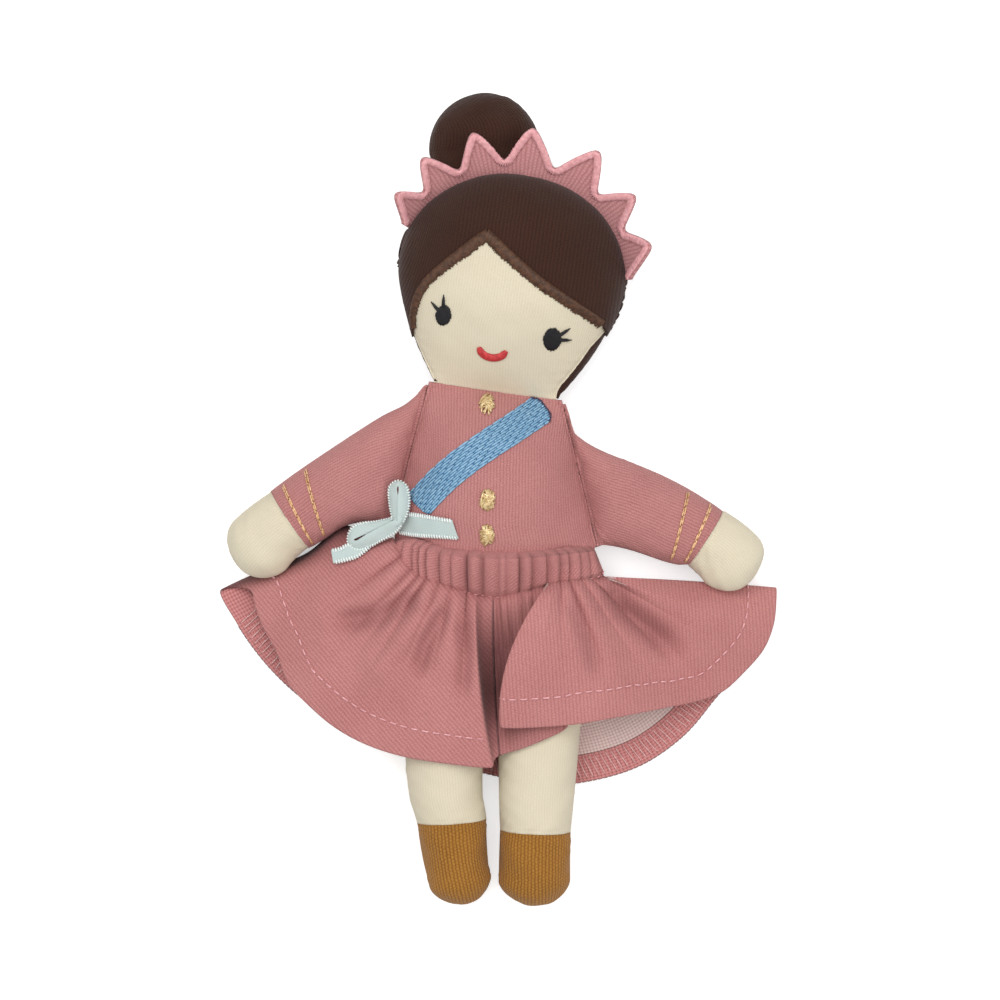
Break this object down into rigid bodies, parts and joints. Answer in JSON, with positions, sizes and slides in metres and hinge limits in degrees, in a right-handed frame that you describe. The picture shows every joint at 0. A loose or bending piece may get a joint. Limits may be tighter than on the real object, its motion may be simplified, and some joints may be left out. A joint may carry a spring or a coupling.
{
  "type": "plush queen doll",
  "caption": "Pocket-size stuffed queen doll with swinging limbs, nodding head, floppy bun, cloth crown, sash, bow and gathered skirt.",
  "frame": {"origin": "middle of the flat of the doll's back, on the surface that it lies on", "axes": "+Z out of the doll's front, +Y towards the top of its head, +X towards its left hand"},
  "size_m": [0.113, 0.1638, 0.0234],
  "materials": {
    "cream_cloth": "plain cotton jersey, matt",
    "rose_cloth": "fine cotton twill, matt",
    "crown_cloth": "stiffened ribbed knit, matt",
    "satin_thread": "satin stitching, soft sheen",
    "hair_cloth": "dark cotton jersey, matt",
    "hair_thread": "satin stitching, soft sheen",
    "blue_thread": "dense embroidery, soft sheen",
    "ribbon": "woven satin ribbon",
    "gold_thread": "metallic embroidery thread",
    "black_thread": "satin stitching",
    "red_thread": "satin stitching",
    "shoe_cloth": "ribbed knit, matt",
    "filling": "loose polyester fibre",
    "elastic": "braided elastic"
  },
  "bodies": {
    "torso": {"jacket_front": "rose_cloth", "jacket_back": "rose_cloth", "lower_body": "cream_cloth", "torso_stuffing": "filling", "sash": "blue_thread", "button_top": "gold_thread", "button_middle": "gold_thread", "button_bottom": "gold_thread", "bow_knot": "ribbon", "bow_loop_upper": "ribbon", "bow_loop_lower": "ribbon", "bow_tail_left": "ribbon", "bow_tail_right": "ribbon", "skirt_waistband": "rose_cloth", "waist_elastic": "elastic", "skirt_panel": "rose_cloth"},
    "head": {"face_panel": "cream_cloth", "hair_back": "hair_cloth", "head_stuffing": "filling", "hair_front": "hair_cloth", "hair_edging": "hair_thread", "eye_left": "black_thread", "eye_right": "black_thread", "mouth": "red_thread", "crown": "crown_cloth", "crown_edging": "satin_thread"},
    "bun": {"bun_cover": "hair_cloth", "bun_stuffing": "filling"},
    "arm_left": {"sleeve_left": "rose_cloth", "hand_left": "cream_cloth", "arm_stuffing_left": "filling", "cuff_braid_left_1": "gold_thread", "cuff_braid_left_2": "gold_thread"},
    "leg_left": {"leg_left": "cream_cloth", "shoe_left": "shoe_cloth", "leg_stuffing_left": "filling"},
    "arm_right": {"sleeve_right": "rose_cloth", "hand_right": "cream_cloth", "arm_stuffing_right": "filling", "cuff_braid_right_1": "gold_thread", "cuff_braid_right_2": "gold_thread"},
    "leg_right": {"leg_right": "cream_cloth", "shoe_right": "shoe_cloth", "leg_stuffing_right": "filling"}
  },
  "joints": [
    {"name": "neck_nod", "type": "hinge", "parent": "torso", "child": "head", "pos_m": [0.0001, 0.0179, 0.0095], "axis": [0.9903, -0.1392, 0], "range_deg": [-5, 40]},
    {"name": "bun_flop", "type": "hinge", "parent": "head", "child": "bun", "pos_m": [-0.00182, 0.06098, 0.0095], "axis": [0.9986, 0.0523, 0], "range_deg": [-12, 3]},
    {"name": "shoulder_left", "type": "hinge", "parent": "torso", "child": "arm_left", "pos_m": [-0.01698, 0.0059, 0.0095], "axis": [0.2518, 0.9678, 0], "range_deg": [-8, 70], "deforming": ["skirt_panel", "bow_knot", "bow_loop_upper", "bow_loop_lower", "bow_tail_left", "bow_tail_right"]},
    {"name": "shoulder_right", "type": "hinge", "parent": "torso", "child": "arm_right", "pos_m": [0.01708, 0.0014, 0.0095], "axis": [0.2341, -0.9722, 0], "range_deg": [-8, 70], "deforming": ["skirt_panel"]},
    {"name": "hip_left", "type": "hinge", "parent": "torso", "child": "leg_left", "pos_m": [-0.0097, -0.0264, 0.0095], "axis": [-1, 0, 0], "range_deg": [-4, 75], "deforming": ["skirt_panel"]},
    {"name": "hip_right", "type": "hinge", "parent": "torso", "child": "leg_right", "pos_m": [0.0097, -0.0264, 0.0095], "axis": [-1, 0, 0], "range_deg": [-4, 75], "deforming": ["skirt_panel"]}
  ]
}
